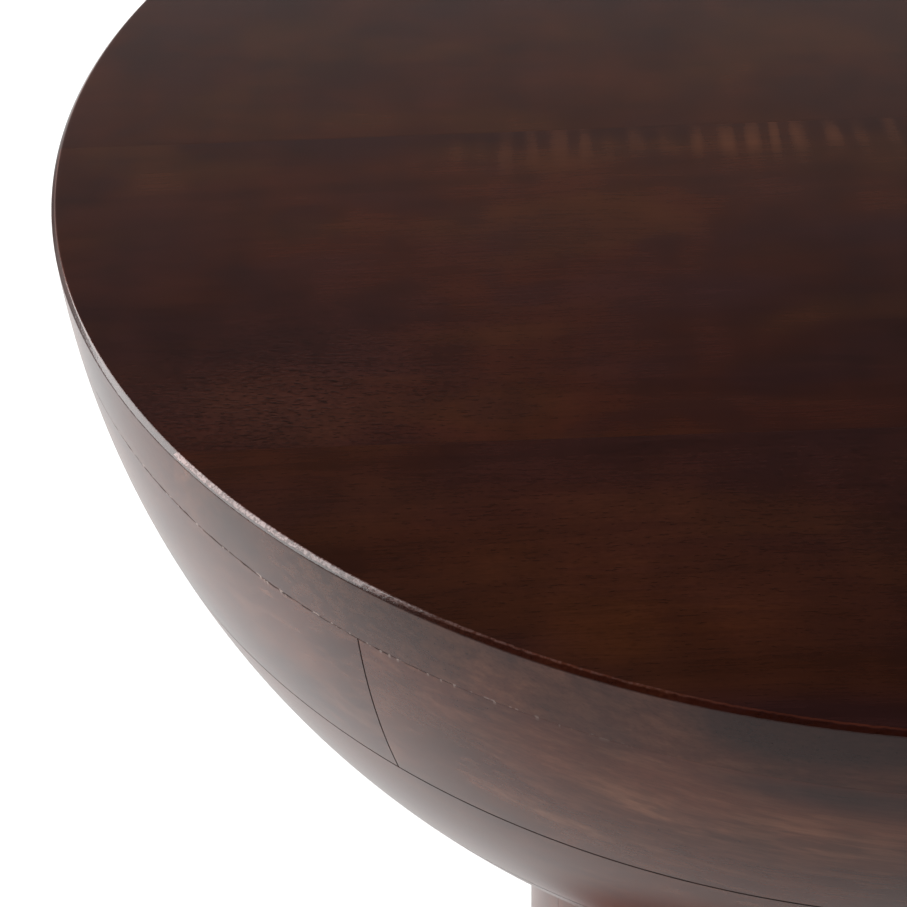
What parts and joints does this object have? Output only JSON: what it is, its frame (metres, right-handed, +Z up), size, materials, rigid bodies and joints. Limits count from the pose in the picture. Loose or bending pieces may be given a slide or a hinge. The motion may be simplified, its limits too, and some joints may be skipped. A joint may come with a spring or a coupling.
{
  "type": "side table",
  "caption": "Round drum-shaped side table: hollow half-sphere bowl of glued hardwood segments with a flat edge-glued top, on a hollow stave stem with felt pads.",
  "frame": {"origin": "centre of the floor footprint, on the plane of the felt pads' undersides", "axes": "+Z up through the middle of the stem and bowl, +X along the boards of the top"},
  "size_m": [0.5079, 0.508, 0.508],
  "materials": {
    "top_wood": "dark espresso stain under satin lacquer",
    "bowl_wood": "dark espresso stain under satin lacquer",
    "stem_wood": "dark espresso stain under satin lacquer",
    "plywood": "raw birch plywood",
    "dowel_beech": "raw beech",
    "zinc_steel": "zinc plated",
    "insert_brass": "turned",
    "felt": "pressed wool felt"
  },
  "bodies": {
    "root": {"bowl_bottom_board_1": "bowl_wood", "bowl_bottom_board_2": "bowl_wood", "bowl_bottom_board_3": "bowl_wood", "bowl_ring_1_segment_1": "bowl_wood", "bowl_ring_1_segment_2": "bowl_wood", "bowl_ring_1_segment_3": "bowl_wood", "bowl_ring_1_segment_4": "bowl_wood", "bowl_ring_1_segment_5": "bowl_wood", "bowl_ring_1_segment_6": "bowl_wood", "bowl_ring_2_segment_1": "bowl_wood", "bowl_ring_2_segment_2": "bowl_wood", "bowl_ring_2_segment_3": "bowl_wood", "bowl_ring_2_segment_4": "bowl_wood", "bowl_ring_2_segment_5": "bowl_wood", "bowl_ring_2_segment_6": "bowl_wood", "bowl_ring_3_segment_1": "bowl_wood", "bowl_ring_3_segment_2": "bowl_wood", "bowl_ring_3_segment_3": "bowl_wood", "bowl_ring_3_segment_4": "bowl_wood", "bowl_ring_3_segment_5": "bowl_wood", "bowl_ring_3_segment_6": "bowl_wood", "clamp_bolts": "zinc_steel", "clamp_washers": "zinc_steel", "felt_pads": "felt", "foot_plate": "plywood", "foot_plate_screws": "zinc_steel", "stem_clamp_plate": "plywood", "stem_stave_1": "stem_wood", "stem_stave_2": "stem_wood", "stem_stave_3": "stem_wood", "stem_stave_4": "stem_wood", "stem_stave_5": "stem_wood", "stem_stave_6": "stem_wood", "stem_stave_7": "stem_wood", "stem_stave_8": "stem_wood", "threaded_inserts": "insert_brass", "top_board_1": "top_wood", "top_board_2": "top_wood", "top_board_3": "top_wood", "top_board_4": "top_wood", "top_dowels": "dowel_beech"}
  },
  "joints": []
}
